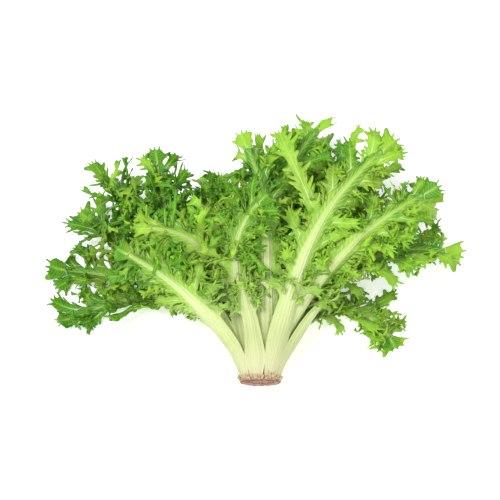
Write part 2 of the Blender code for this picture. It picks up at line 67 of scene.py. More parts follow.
COLLAR_RADIUS = 15.6 * MM
COLLAR_LENGTH = 6.2 * MM
COLLAR_EASE = 0.8 * MM
CONE_RADIUS = 12.4 * MM
CONE_TIP_RADIUS = 1.6 * MM
CONE_LENGTH = 38.0 * MM
FLAT_SPOT = 1.2 * MM
CUT_HEIGHT = COLLAR_RADIUS * math.cos(TILT) - FLAT_SPOT

HALF_BLADE = 0.8 * MM / 2
TOOTH_LIFT = 0.4 * MM  # least height of the lobes and teeth over the surface
FLOOR_GAP = 0.05 * MM
CONE_GAP = 0.5 * MM  # between the cone and the leaf bases on it
BARE_SHARE = 0.29
BARE_LENGTH = 48.0 * MM
STALK_GAP = 0.7 * MM  # between the plain stalks of a ring
FINE_STALK_GAP = STALK_GAP / 3
STALK_NARROWS = (34.0 * MM, 70.0 * MM)
LAST_LOBE = 0.96
ROOT_SHARE = 0.55
PATH_STEPS = 60
WANDER = 7.0  # how far a midrib strays round the axis, degrees
FLOOR_EASE = 20.0 * MM

FEW_LOBES_BELOW = 120 * MM  # a leaf shorter than this has fewer pairs of lobes
PALE_BELOW = 180 * MM  # and one shorter than this stays pale for longer
TIP_MATCH = 0.6 * MM
SHORT_LOBE = 16 * MM
BRANCH_LENGTH = 50 * MM
LONG_TOOTH = 3 * MM
EDGE_WAVES = 1.6  # along a lobe
OFF_RIB = 2.0  # what the finish reads away from the midrib
NO_VEIN = 1.0  # and away from a lobe's vein
ROOT_OUT = 0.25  # and at a lobe's root, between the midrib and the tips
RIB_COLUMNS = (-1.0, -0.5, 0.0, 0.5, 1.0)
BARE_ROWS = 9
CUT_REACH = -0.03  # what the finish reads at the cut, below every leaf's root
LOBE_ROWS = 3
GAP_ROWS = 4
TOOTH_SHAPE = ((0.45, 0.85), (0.85, 0.6), (1.0, 0.25))  # how far along, and how wide there
SHORT_TOOTH_SHAPE = ((0.55, 0.8), (1.0, 0.3))


class Edge(Enum):
    """The two margins of a leaf, seen from its root with its inner face towards the eye."""

    LEFT = -1
    RIGHT = 1


@dataclass(frozen=True)
class LobeLook:
    """What the fine tissue of a ring's leaves adds to its plain lobes."""

    slimness: float  # width over that of the plain lobe
    neck: float  # width near the root, as a share of the width
    tooth: float  # length of the teeth over the lobe's width
    tooth_curl: float
    tooth_every: int  # rows from one tooth to the next
    frills: int  # how many small lobes grow from each stretch between the large ones
    frill_length: float
    frill_curl: float  # how far they roll up, degrees
    ruffle: float  # how far the lobes' edges wave
    runners: int  # how many long thin strands grow from each margin of the stalk
    wing: float  # width of the thin wings of the clasping base


@dataclass(frozen=True)
class Ring:
    """A ring of leaf bases at one height on the stem. Angles are in degrees."""

    name: str
    attach: float  # from the cut face, along the axis
    flare: float  # how far its leaves lean out at their roots
    floor: float  # how low its leaves may sag
    first: float  # where round the axis its first leaf stands
    base_thickness: float
    stalk_width: float
    lobe_pairs: int
    lobe_length: float
    lobe_width: float
    curl: float
    look: LobeLook


@dataclass(frozen=True)
class Leaf:
    """One leaf: how it leaves the axis, in degrees, and how long it is."""

    spread: float  # how far it opens
    tip: float  # how far its tip leans out
    sway: float  # how far its tip is turned round the axis
    length: float
    droop: float
    size: float = 1.0
    branch: tuple = ()  # pair, margin, growth and bend of a lobe that became a branch
    shut: float = 0.0  # share of its length before it opens further than its ring does


RINGS = (
    Ring("outer", 6.6 * MM, 20.0, 0.9 * MM, 12.0, 2.6 * MM, 17 * MM, 7, 28 * MM, 8.0 * MM, 60.0,
         LobeLook(1.0, 0.62, 0.5, 0.5, 2, 1, 14 * MM, 110.0, 1.3 * MM, 0, 1.0 * MM)),
    Ring("second", 12.0 * MM, 16.0, 11.0 * MM, 34.5, 2.4 * MM, 15 * MM, 7, 28 * MM, 7.0 * MM, 75.0,
         LobeLook(0.85, 0.5, 0.75, 0.8, 2, 2, 17 * MM, 150.0, 1.4 * MM, 1, 3.2 * MM)),
    Ring("third", 18.0 * MM, 12.0, 23.0 * MM, 35.0, 2.2 * MM, 12 * MM, 6, 26 * MM, 5.6 * MM, 90.0,
         LobeLook(0.7, 0.5, 1.4, 1.0, 1, 2, 20 * MM, 210.0, 1.3 * MM, 2, 3.4 * MM)),
    Ring("inner", 24.0 * MM, 9.0, 34.0 * MM, 10.0, 2.0 * MM, 8 * MM, 5, 22 * MM, 4.6 * MM, 105.0,
         LobeLook(0.6, 0.5, 1.8, 1.2, 1, 2, 20 * MM, 250.0, 1.2 * MM, 2, 3.0 * MM)),
    Ring("heart", 30.0 * MM, 6.0, 44.0 * MM, 18.0, 1.6 * MM, 6 * MM, 4, 18 * MM, 4.0 * MM, 120.0,
         LobeLook(0.6, 0.5, 1.9, 1.3, 1, 2, 18 * MM, 270.0, 1.1 * MM, 1, 2.0 * MM)),
)

LEAVES = {
    "outer": (
        Leaf(42, 99, -6, 183 * MM, 0.2, 1.1),
        Leaf(35, 50, -6, 206 * MM, 0.9, branch=(3, 1, 2.6, 0.6)),
        Leaf(32, 44, 10, 74 * MM, 0.0, 0.5),
        Leaf(56, 62, 0, 140 * MM, 0.2),
        Leaf(76, 122, 12, 180 * MM, 0.5, 1.1, shut=0.14),
        Leaf(100, 92, -36, 204 * MM, 0.3, 1.1, shut=0.12),
        Leaf(25, 10, 0, 150 * MM, 0.0),
        Leaf(68, 150, 0, 138 * MM, 0.3, 1.1, shut=0.14),
    ),
    "second": (
        Leaf(50, 56, 0, 190 * MM, 0.6),
        Leaf(24, 36, 40, 178 * MM, 0.6),
        Leaf(26, 60, -80, 145 * MM, 0.3),
        Leaf(38, 5, 0, 182 * MM, 0.1),
        Leaf(76, 62, 0, 196 * MM, 0.2, 1.1, shut=0.1),
        Leaf(40, 45, -30, 170 * MM, 0.0),
        Leaf(34, 10, 0, 214 * MM, 0.0),
        Leaf(50, 48, 0, 195 * MM, 0.1),
    ),
    "third": (
        Leaf(42, 84, -28, 165 * MM, 0.2),
        Leaf(15, 36, -88, 199 * MM, 0.6),
        Leaf(34, 90, 10, 150 * MM, 0.1),
        Leaf(48, 40, 5, 200 * MM, 0.1, 1.2),
        Leaf(34, 30, -10, 168 * MM, 0.1),
        Leaf(24, 16, 10, 200 * MM, 0.1),
        Leaf(38, 24, 0, 192 * MM, 0.1),
    ),
    "inner": (
        Leaf(28, 20, 0, 185 * MM, 0.1),
        Leaf(10, 24, 50, 164 * MM, 0.4),
        Leaf(30, 50, 0, 130 * MM, 0.1),
        Leaf(38, 40, 0, 150 * MM, 0.1),
        Leaf(25, 20, 0, 150 * MM, 0.1),
        Leaf(25, 20, 0, 182 * MM, 0.1),
    ),
    "heart": (
        Leaf(18, 14, 0, 100 * MM, 0.1),
        Leaf(4, 22, 0, 90 * MM, 0.3),
        Leaf(28, 40, 0, 95 * MM, 0.1),
        Leaf(18, 20, 0, 110 * MM, 0.1),
        Leaf(18, 20, 0, 110 * MM, 0.1),
    ),
}

# What a lobe tries, in order, until its tip meets a corner of its plain solid: share of its length,
# and share of its bend. One that meets none in these ways is left out.
LOBE_TRIES = (
    (1.0, 1.0), (1.0, -0.6), (0.8, 0.4), (0.8, 1.3), (0.8, -1.2), (0.6, 0.8), (0.6, -0.8),
    (0.6, 0.0), (0.42, 0.7), (0.42, -0.7), (0.3, 0.0),
)


def radial(angle: float) -> Vector:
    """Return the direction out of the axis at an angle round it, 0 at +X and 90 on top."""
    return math.cos(angle) * ACROSS + math.sin(angle) * UPWARD


def smooth(low: float, high: float, value: float) -> float:
    """Return 0 below low, 1 above high, and an eased value between them."""
    share = min(1.0, max(0.0, (value - low) / (high - low)))
    return share * share * (3.0 - 2.0 * share)


def turn(draw: random.Random, low: float, high: float) -> float:
    """Return a random angle between two that are in degrees, in radians."""
    return math.radians(draw.uniform(low, high))


def cone_radius(along: float) -> float:
    """Return the radius of the stem's cone at a distance from the cut face."""
    share = (along - COLLAR_LENGTH) / (CONE_LENGTH - COLLAR_LENGTH)
    return CONE_RADIUS + share * (CONE_TIP_RADIUS - CONE_RADIUS)


def head_origin() -> Vector:
    """Find the head's origin from the stem's own box.

    Returns:
        The middle of the cut face, at height 0.
    """
    low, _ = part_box("stem")
    return Vector((
        low[0] + COLLAR_RADIUS,
        low[1] + (COLLAR_RADIUS - COLLAR_EASE) * math.sin(TILT),
        0.0,
    ))


def above_floor(point: Vector, half: float) -> Vector:
    """Return the point, or the one above it where it would sink into the surface."""
    return Vector((point.x, point.y, max(point.z, half + FLOOR_GAP)))


def extruded(mesh: bmesh.types.BMesh, chain: Chain, targets: list[Vector]) -> Chain:
    """Extrude an open chain of vertices and move the new ones.

    Args:
        mesh: The mesh that holds the chain.
        chain: The vertices, in order along the chain.
        targets: Where the new vertices go.

    Returns:
        The new vertices in the same order.
    """
    edges = [mesh.edges.get(pair) for pair in zip(chain, chain[1:])]
    made = bmesh.ops.extrude_edge_only(mesh, edges=edges)["geom"]
    new = {item for item in made if isinstance(item, bmesh.types.BMVert)}
    ordered = [
        next(e.other_vert(vert) for e in vert.link_edges if e.other_vert(vert) in new)
        for vert in chain
    ]
    for vert, target in zip(ordered, targets):
        vert.co = target
    return ordered


def strung(mesh: bmesh.types.BMesh, points: list[Vector]) -> Chain:
    """Start a chain of vertices, joined by edges in their order.

    Args:
        mesh: The mesh that gets them.
        points: Where they go.

    Returns:
        The vertices.
    """
    chain = [mesh.verts.new(point) for point in points]
    for pair in zip(chain, chain[1:]):
        mesh.edges.new(pair)
    return chain


def as_object(
    mesh: bmesh.types.BMesh, name: str, finish: bpy.types.Material, smooth_faces: bool = True
) -> bpy.types.Object:
    """Put a finished mesh into the scene, and free it.

    Args:
        mesh: The mesh.
        name: What the object is called.
        finish: Its material.
        smooth_faces: Whether its faces are turned outwards and shaded smooth.

    Returns:
        The object.
    """
    if smooth_faces:
        bmesh.ops.recalc_face_normals(mesh, faces=mesh.faces[:])
    data = bpy.data.meshes.new(name)
    mesh.to_mesh(data)
    mesh.free()
    data.materials.append(finish)
    data.polygons.foreach_set("use_smooth", [smooth_faces] * len(data.polygons))
    made = bpy.data.objects.new(name, data)
    bpy.context.scene.collection.objects.link(made)
    return made


@dataclass
class Station:
    """One place along a midrib, with the leaf's own directions there."""

    centre: Vector
    along: Vector
    side: Vector
    inward: Vector
    room: float = 0.0  # half of the distance to the nearest midrib of the same ring


@dataclass
class Midrib:
    """The line of a leaf's midrib and the widths along it."""

    ring: Ring
    leaf: Leaf
    angle: float
    origin: Vector
    stations: list[Station] = field(default_factory=list)

    def __post_init__(self) -> None:
        """Work out the stations from the root to the tip."""
        start = math.radians(self.angle)
        centre = Vector((0.0, 0.0, CUT_HEIGHT)) + AXIS * self.ring.attach
        centre = centre + radial(start) * self.base_radius()
        for step in range(PATH_STEPS + 1):
            station = self.station(step / PATH_STEPS, start, centre)
            self.stations.append(station)
            centre = centre + station.along * (self.leaf.length / PATH_STEPS)
        for station in self.stations:
            station.centre = station.centre + self.origin

    def station(self, share: float, start: float, centre: Vector) -> Station:
        """Return the directions at one share of the length.

        Args:
            share: Share of the leaf's length from the root.
            start: Where round the axis the leaf stands, in radians.
            centre: The midrib's point there.

        Returns:
            The station, with its point still measured from the head's own origin.
        """
        ring, leaf = self.ring, self.leaf
        opened = max(0.0, share - leaf.shut) / (1.0 - leaf.shut)
        opening = ring.flare + (leaf.spread - ring.flare) * (1 - (1 - opened) ** 4)
        opening = math.radians(opening + (leaf.tip - leaf.spread) * smooth(0.3, 1.0, share))
        drift = leaf.sway * share**1.5 + WANDER * share * math.sin(9 * share + 5 * start)
        outward = radial(start + math.radians(drift))
        along = math.cos(opening) * AXIS + math.sin(opening) * outward
        along.z -= leaf.droop * share * share
        height = centre.z - ring.floor
        if along.z < 0.0:
            along.z *= min(1.0, max(0.0, height / FLOOR_EASE))
        if height < 0.0:
            along.z = max(along.z, 0.12)
        along.normalize()
        face_up = 1.0 if math.sin(start) < 0.35 else -1.0
        inward = math.sin(opening) * AXIS - math.cos(opening) * outward
        inward = inward.lerp(Vector((0.0, 0.0, face_up)), 0.85 * smooth(0.1, 0.9, share))
        inward = (inward - inward.dot(along) * along).normalized()
        return Station(centre.copy(), along, along.cross(inward), inward)

    def at(self, share: float) -> Station:
        """Return the station at any place, between those that were worked out.

        Args:
            share: Share of the leaf's length from the root.

        Returns:
            The station.
        """
        place = share * PATH_STEPS
        index = min(int(place), PATH_STEPS - 1)
        first, second = self.stations[index], self.stations[index + 1]
        part = place - index
        along = first.along.lerp(second.along, part).normalized()
        inward = first.inward.lerp(second.inward, part)
        inward = (inward - inward.dot(along) * along).normalized()
        centre = first.centre.lerp(second.centre, part)
        room = first.room + (second.room - first.room) * part
        return Station(centre, along, along.cross(inward), inward, room)

    def measure_room(self, others: list["Midrib"]) -> None:
        """Set how much room each station has.

        Args:
            others: The other midribs of its ring.
        """
        centres = [station.centre for other in others for station in other.stations]
        for station in self.stations:
            station.room = min((centre - station.centre).length for centre in centres) / 2

    def bare_share(self) -> float:
        """Return the share of the length that is a bare stalk."""
        return max(BARE_SHARE, min(0.7, BARE_LENGTH / self.leaf.length))

    def lobe_roots(self) -> list[tuple[float, float]]:
        """Share out the leaf's length among its lobes.

        Returns:
            Where each pair of lobes has the two ends of its roots.
        """
        bare = self.bare_share()
        fewer = min(1.0, self.leaf.length / FEW_LOBES_BELOW) ** 0.5
        pairs = max(2, round(self.ring.lobe_pairs * fewer))
        pitch = (LAST_LOBE - bare) / pairs
        return [(bare + i * pitch, bare + (i + ROOT_SHARE) * pitch) for i in range(pairs)]

    def base_radius(self) -> float:
        """Return how far from the axis the middle of the leaf's base is."""
        return cone_radius(self.ring.attach) + CONE_GAP + self.ring.base_thickness / 2

    def base_half_width(self) -> float:
        """Return half the width of the leaf where it meets the stem."""
        return self.base_radius() * math.sin(math.pi / len(LEAVES[self.ring.name])) - STALK_GAP

    def rib_half_width(self, share: float, gap: float = STALK_GAP) -> float:
        """Return half the width of the midrib alone; its bare stalk spreads into its room.

        Args:
            share: Share of the leaf's length from the root.
            gap: What stays free between it and the stalk beside it.

        Returns:
            The half width.
        """
        base = self.base_half_width()
        rib = base * (1 + 0.65 * smooth(0.0, 0.15, share) - 1.4 * smooth(0.1, 0.8, share))
        widest = self.ring.stalk_width / 2 * min(1.0, self.leaf.size)
        stalk = min(self.at(share).room - gap, widest)
        return rib + max(0.0, stalk - rib) * (1 - smooth(*STALK_NARROWS, share * self.leaf.length))

    def web_width(self, share: float) -> float:
        """Return the width of the web on each side of the midrib."""
        grown = smooth(0.25, 0.5, share) * (1 - 0.75 * smooth(0.7, 1.0, share))
        return 3.6 * MM * self.leaf.size * grown

    def wing_width(self, share: float) -> float:
        """Return the width of the thin wing on each side of the clasping base."""
        wing = self.ring.look.wing * self.leaf.size * smooth(0.01, 0.1, share)
        return wing * (1 - smooth(0.2, 0.42, share))

    def crown(self, share: float) -> float:
        """Work out how hollow the leaf is across.

        Args:
            share: Share of the leaf's length from the root.

        Returns:
            How far the margins stand inwards of the crest.
        """
        radius = cone_radius(self.ring.attach) + self.ring.base_thickness
        at_root = self.base_half_width() ** 2 / (2 * radius)
        return at_root + (1.2 * MM - at_root) * smooth(0.0, 0.3, share)

    def margin(self, share: float, edge: Edge) -> Vector:
        """Return the middle of the plain solid's blade at one margin.

        Args:
            share: Share of the leaf's length from the root.
            edge: Which margin.

        Returns:
            The point.
        """
        at = self.at(share)
        half = self.rib_half_width(share) + self.web_width(share)
        point = at.centre + at.side * half * edge.value + at.inward * self.crown(share)
        thick = self.ring.base_thickness * 0.3
        return above_floor(point, thick + (HALF_BLADE - thick) * smooth(0.0, 0.9, share))


@dataclass
class Growth:
    """How one lobe, frill or tooth leaves the edge that it grows from."""

    length: float
    width: float
    sweep: float  # towards the leaf's tip, radians
    bend: float  # out of the leaf's plane, radians; positive towards the inner face
    twist: float
    tip_curl: float = 0.0
    ruffle: float = 0.0
    neck: float = 0.6
    steps: int = 7
    tooth: float = 0.4  # length of its teeth, as a share of its width
    tooth_curl: float = 0.6
    tooth_every: int = 1


def lobe_axes(at: Station, edge: Edge, sweep: float) -> tuple[Vector, Vector]:
    """Return where a lobe heads at its root, and the direction across it.

    Args:
        at: The midrib's station beside it.
        edge: The margin that it grows from.
        sweep: How far it leans to the leaf's tip, in radians.

    Returns:
        The two directions.
    """
    out = at.side * edge.value
    heading = out * math.cos(sweep) + at.along * math.sin(sweep)
    return heading, at.along * math.cos(sweep) - out * math.sin(sweep)


def plain_lobe_tip(
    root: tuple[Vector, Vector], at: Station, edge: Edge, growth: Growth
) -> Vector:
    """Find the longer tip of the plain solid's lobe, which shows how it was bent.

    Args:
        root: The two ends of its root.
        at: The midrib's station beside it.
        edge: The margin that it grows from.
        growth: Its sizes and bends.

    Returns:
        Where the tip would be with this growth.
    """
    heading, across = lobe_axes(at, edge, growth.sweep)
    centre = (root[0] + root[1]) / 2
    for part in (0.42, 0.38):
        heading = Quaternion(across, growth.bend * 0.5 * -edge.value) @ heading
        across = Quaternion(heading, growth.twist * 0.5) @ across
        centre = centre + heading * growth.length * part
    heading = Quaternion(across, growth.bend * 0.25 * -edge.value) @ heading
    tip = centre + heading * growth.length * 0.286 + across * growth.width * 0.5
    return above_floor(tip, HALF_BLADE)


@dataclass
class Tissue:
    """The thin sheet of one leaf while it grows, with what its finish reads at each point."""

    mesh: bmesh.types.BMesh = field(default_factory=bmesh.new)

    def __post_init__(self) -> None:
        """Add the layers that the finish and the thickness read."""
        layers = self.mesh.verts.layers.float
        self.reach = layers.new("reach")  # share of the leaf's length
        self.outward = layers.new("outward")  # 0 on the midrib, 1 at the tips of the lobes
        self.rib = layers.new("rib")  # 0 on the midrib's crest, 1 and more off it
        self.strand = layers.new("strand")  # place across the leaf, -1 to 1
        self.vein = layers.new("vein")  # place across a lobe: 0 on its vein, -1 and 1 at its edges
        self.tint = layers.new("tint")
        self.body = layers.new("body")  # half of the thickness

    def dress(self, vert: bmesh.types.BMVert, **values: float) -> None:
        """Set what the finish and the thickness read at one point, layer by layer."""
        for layer, value in values.items():
            vert[getattr(self, layer)] = value

    def copied(self, chain: Chain, other: "Tissue") -> Chain:
        """Copy an open chain of another sheet's vertices.

        Args:
            chain: The vertices.
            other: The sheet that holds them.

        Returns:
            This sheet's own vertices in the same places.
        """
        made = strung(self.mesh, [vert.co for vert in chain])
        for vert, old in zip(made, chain):
            self.dress(
                vert, reach=old[other.reach], outward=ROOT_OUT, rib=OFF_RIB, vein=NO_VEIN,
                tint=old[other.tint], body=HALF_BLADE,
            )
        return made

    def grow_tooth(
        self, pair: Chain, direction: Vector, length: float, normal: Vector,
        curl: float, tint: float,
    ) -> None:
        """Grow one pointed tooth from an edge.

        Args:
            pair: The edge's two vertices.
            direction: Where the tooth points, in the blade's plane.
            length: Its length.
            normal: The blade's normal there.
            curl: How far its point leaves the plane, as a share of its length.
            tint: Its shade.
        """
        middle = (pair[0].co + pair[1].co) / 2
        across = (pair[1].co - pair[0].co) / 2
        reach = pair[0][self.reach]
        base_out = max(pair[0][self.outward], pair[1][self.outward])
        chain = pair
        for far, wide in TOOTH_SHAPE if length > LONG_TOOTH else SHORT_TOOTH_SHAPE:
            place = middle + direction * length * far + normal * curl * length * far * far
            sides = (place - across * wide, place + across * wide)
            chain = extruded(self.mesh, chain, [above_floor(side, TOOTH_LIFT) for side in sides])
            outward = min(1.0, base_out + 0.15 * far)
            body = HALF_BLADE * (1 - 0.25 * far)
            for vert in chain:
                self.dress(
                    vert, reach=reach, outward=outward, rib=OFF_RIB, vein=NO_VEIN, tint=tint,
                    body=body,
                )

    def grow_lobe(
        self, chain: Chain, at: Station, edge: Edge, growth: Growth, draw: random.Random,
        outset: float,
    ) -> None:
        """Grow one lobe with teeth along both edges and a forked end.

        Args:
            chain: The vertices of its root, from the nearer to the further.
            at: The midrib's station beside it.
            edge: The margin that it grows from.
            growth: Its sizes and bends.
            draw: Where its smaller variations come from.
            outset: The finish's measure of how far out its root is.
        """
        heading, across = lobe_axes(at, edge, growth.sweep)
        centre = (chain[0].co + chain[-1].co) / 2
        root_half = (chain[-1].co - chain[0].co).length / 2
        count = len(chain) - 1
        places = [2.0 * i / count - 1.0 for i in range(count + 1)]
        tint = draw.random() + chain[0][self.tint] - 0.5
        reach = chain[0][self.reach]
        phase = draw.uniform(0, math.tau)
        furthest = 0.85 if growth.length < BRANCH_LENGTH else 0.6
        rows = [chain]
        frames = []
        for step in range(1, growth.steps + 1):
            before, after = (step - 1) / growth.steps, step / growth.steps
            bent = growth.bend * 1.3 * (after**0.6 - before**0.6)
            bent += growth.tip_curl * (smooth(0.45, 1.0, after) - smooth(0.45, 1.0, before))
            heading = Quaternion(across, bent * -edge.value) @ heading
            across = Quaternion(heading, growth.twist * (after - before)) @ across
            normal = heading.cross(across).normalized()
            centre = centre + heading * growth.length * (after - before) * 0.86
            half = growth.neck + (1.1 - growth.neck) * smooth(0.1, 0.75, after)
            half *= growth.width / 2 * (1 - 0.35 * smooth(0.8, 1.0, after))
            half += (root_half - half) * (1 - smooth(0.0, 0.35, after))
            targets = []
            for place in places:
                wave = math.sin(phase + EDGE_WAVES * math.tau * after + 1.3 * place)
                lift = growth.ruffle * wave * place * place * smooth(0.05, 0.4, after)
                point = centre + across * half * place + normal * lift
                targets.append(above_floor(point, TOOTH_LIFT))
            chain = extruded(self.mesh, chain, targets)
            outward = outset + (furthest - outset) * after
            for vert, place in zip(chain, places):
                body = HALF_BLADE * (1.35 - 0.45 * abs(place)) * (1.1 - 0.2 * after)
                self.dress(
                    vert, reach=reach, outward=outward, rib=OFF_RIB, vein=place, tint=tint,
                    body=body,
                )
            rows.append(chain)
            frames.append((heading.copy(), across.copy(), normal))
        every = growth.tooth_every
        for column, side in ((0, -1.0), (-1, 1.0)):
            for step in range(1 + draw.randrange(every), growth.steps, every):
                if draw.random() < 0.15:
                    continue
                heading, across, normal = frames[step]
                lean = turn(draw, 20, 60)
                direction = across * side * math.cos(lean) + heading * math.sin(lean)
                length = growth.width * growth.tooth * draw.uniform(0.5, 1.5)
                pair = [rows[step][column], rows[step + 1][column]]
                curl = growth.tooth_curl * draw.uniform(-1.0, 1.0)
                self.grow_tooth(pair, direction, length, normal, curl, tint)
        heading, across, normal = frames[-1]
        for index in range(0, count, 2 if count > LOBE_ROWS else 1):
            fan = 0.9 * (places[index] + places[index + 1]) / 2
            direction = (heading + across * fan).normalized()
            length = min(growth.length * 0.2, growth.width * 0.7) * draw.uniform(0.6, 1.3)
            pair = [chain[index], chain[index + 1]]
            self.grow_tooth(pair, direction, length, normal, draw.uniform(-0.5, 0.5), tint)


@dataclass
class LeafPiece:
    """One leaf of the head, grown finely over its plain solid."""

    name: str
    midrib: Midrib
    tissue: Tissue = field(default_factory=Tissue)
    curls: Tissue = field(default_factory=Tissue)
    rows: list[Chain] = field(default_factory=list)
    missing: set[tuple[int, Edge]] = field(default_factory=set)
    row_shares: list[float] = field(default_factory=list)

    def solid_points(self) -> KDTree:
        """Gather the plain solid's corners.

        Returns:
            The corners, ready to be searched.
        """
        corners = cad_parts[self.name].data.vertices
        tree = KDTree(len(corners))
        for vert in corners:
            tree.insert(vert.co, vert.index)
        tree.balance()
        return tree

    def shares(self) -> tuple[list[float], list[int]]:
        """Space out the rows across the leaf.

        Returns:
            The shares of all rows, and the row where each pair of lobes starts.
        """
        bare = self.midrib.bare_share()
        shares = [0.0] if self.is_outer() else []
        shares += [bare * i / BARE_ROWS for i in range(BARE_ROWS)]
        starts = []
        roots = self.midrib.lobe_roots()
        for index, (near, far) in enumerate(roots):
            starts.append(len(shares))
            shares += [near + (far - near) * i / LOBE_ROWS for i in range(LOBE_ROWS + 1)]
            if index + 1 < len(roots):
                beyond = roots[index + 1][0]
                shares += [far + (beyond - far) * i / GAP_ROWS for i in range(1, GAP_ROWS)]
        return shares, starts

    def is_outer(self) -> bool:
        """Return whether the leaf is one of the oldest, whose bases the cut goes through."""
        return self.midrib.ring.name == "outer"

    def reach_at(self, share: float) -> float:
        """Return how far from the root a place looks; a short leaf stays pale for longer."""
        return share * min(1.0, self.midrib.leaf.length / PALE_BELOW) ** 1.2

    def shade(self) -> float:
        """Return how much lighter the leaf is than most; those on the right are lighter."""
        return 0.3 * math.cos(math.radians(self.midrib.angle)) - 0.05

    def fullness(self) -> float:
        """Return how much longer the leaf's frills are than most; those on the left are longer."""
        return 1.15 + 0.35 * smooth(0.3, 0.8, -math.cos(math.radians(self.midrib.angle)))

    def rib_row(self, share: float) -> list[tuple[Vector, float, float, float]]:
        """Work out one row across the midrib and its web.

        Args:
            share: Share of the leaf's length from the root.

        Returns:
            Each point with its place, rib measure and half thickness.
        """
        rib = self.midrib.rib_half_width(share, FINE_STALK_GAP)
        at = self.midrib.at(share)
        total = rib + self.midrib.web_width(share) + self.midrib.wing_width(share)
        edge = min(0.86, rib / total)
        thick = self.midrib.ring.base_thickness / 2
        row = []
        for place in (-1.0, *(edge * column for column in RIB_COLUMNS), 1.0):
            within = max(0.0, 1.0 - (place / edge) ** 2)
            lift = self.midrib.crown(share) * place * place
            lift -= (0.32 * rib + 0.4 * MM) * within * smooth(0.0, 0.2, share) * 0.8
            point = at.centre + at.side * total * place + at.inward * lift
            crest = thick * 1.1 * (1 - smooth(0.1, 1.0, share)) + 0.5 * MM
            half = HALF_BLADE + (crest - HALF_BLADE) * within**0.7
            if share < 0.3:
                half = max(half, thick * 0.75 * (1 - share / 0.3))
            row.append((above_floor(point, half), place, abs(place) / edge, half))
        return row

    def grow_rib(self, shares: list[float]) -> None:
        """Grow the midrib and its web, row by row from the root.

        Args:
            shares: Where the rows are.
        """
        tissue = self.tissue
        for share in shares:
            at_cut = not self.rows and self.is_outer()
            row = self.cut_row(self.rib_row(share)) if at_cut else self.rib_row(share)
            points = [point for point, *_ in row]
            if self.rows:
                verts = extruded(tissue.mesh, self.rows[-1], points)
            else:
                verts = strung(tissue.mesh, points)
            for vert, (_, place, rib, half) in zip(verts, row):
                reach = CUT_REACH if at_cut else self.reach_at(share)
                tissue.dress(
                    vert, reach=reach, outward=ROOT_OUT * abs(place), rib=rib, vein=NO_VEIN,
                    tint=0.5 + self.shade(), body=half, strand=place,
                )
            self.rows.append(verts)

    def cut_row(
        self, row: list[tuple[Vector, float, float, float]]
    ) -> list[tuple[Vector, float, float, float]]:
        """Move the root's row down to the cut, where an old leaf's base still ends.

        Args:
            row: The points of the row, as rib_row gives them.

        Returns:
            The same points lower down, each by its own amount.
        """
        draw = random.Random(f"{self.name} cut")
        moved = []
        for point, place, rib, half in row:
            down = self.midrib.ring.attach - draw.uniform(0.9, 1.9) * MM
            moved.append((above_floor(point - AXIS * down, half), place, rib, half))
        return moved

    def margin_chain(self, first: int, count: int, edge: Edge) -> Chain:
        """Return the margin's vertices over some rows."""
        column = 0 if edge is Edge.LEFT else -1
        return [self.rows[row][column] for row in range(first, first + count + 1)]

    def lobe_growth(
        self, draws: dict[str, float], share: float, length_share: float, bend_share: float
    ) -> Growth:
        """Work out a lobe's sizes as its plain solid has them.

        Args:
            draws: Its random draws, each from 0 to 1.
            share: Where along the leaf it grows.
            length_share: What is left of its length.
            bend_share: What is left of its bend.

        Returns:
            Its growth.
        """
        ring, leaf = self.midrib.ring, self.midrib.leaf
        varied = 0.75 + 0.5 * draws["length"]
        length = ring.lobe_length * leaf.size
        length *= 0.55 + 0.45 * smooth(self.midrib.bare_share(), 0.6, share)
        length *= (1 - 0.35 * smooth(0.7, 1.0, share)) * length_share * varied
        return Growth(
            length=length,
            width=ring.lobe_width * leaf.size**0.5 * (0.85 + 0.3 * draws["width"]),
            sweep=math.radians(20 + 38 * share + 24 * (draws["sweep"] - 0.5)),
            bend=math.radians(ring.curl) * (2 * draws["bend"] - 0.75) * bend_share,
            twist=math.radians(36) * (draws["twist"] - 0.5),
        )

    def grow_lobes(self, starts: list[int]) -> int:
        """Grow the large lobes, each bent as its plain solid is.

        Args:
            starts: The row where each pair of lobes starts.

        Returns:
            How many grew.
        """
        source = random.Random(f"curly endive {self.name}")
        keys = ("length", "width", "sweep", "bend", "twist")
        tree = self.solid_points()
        grown = 0
        for pair, (near, far) in enumerate(self.midrib.lobe_roots()):
            share = (near + far) / 2
            at = self.midrib.at(share)
            for edge in Edge:
                draws = {key: source.random() for key in keys}
                growth = self.matching_growth(tree, draws, pair, (near, far), edge)
                if growth is None:
                    self.missing.add((pair, edge))
                    continue
                draw = random.Random(f"{self.name} {pair} {edge.value}")
                look = self.midrib.ring.look
                growth.ruffle = look.ruffle * draw.uniform(0.7, 1.3)
                growth.width *= look.slimness
                growth.neck, growth.tooth = look.neck, look.tooth
                growth.tooth_curl, growth.tooth_every = look.tooth_curl, look.tooth_every
                growth.tip_curl = turn(draw, -50, 60)
                growth.steps = 5 if growth.length < SHORT_LOBE else 7
                if growth.length > BRANCH_LENGTH:
                    growth.width *= 0.8
                    growth.steps, growth.tooth, growth.tooth_every = 15, 1.1, 1
                chain = self.margin_chain(starts[pair], LOBE_ROWS, edge)
                self.tissue.grow_lobe(chain, at, edge, growth, draw, ROOT_OUT)
                grown += 1
        return grown

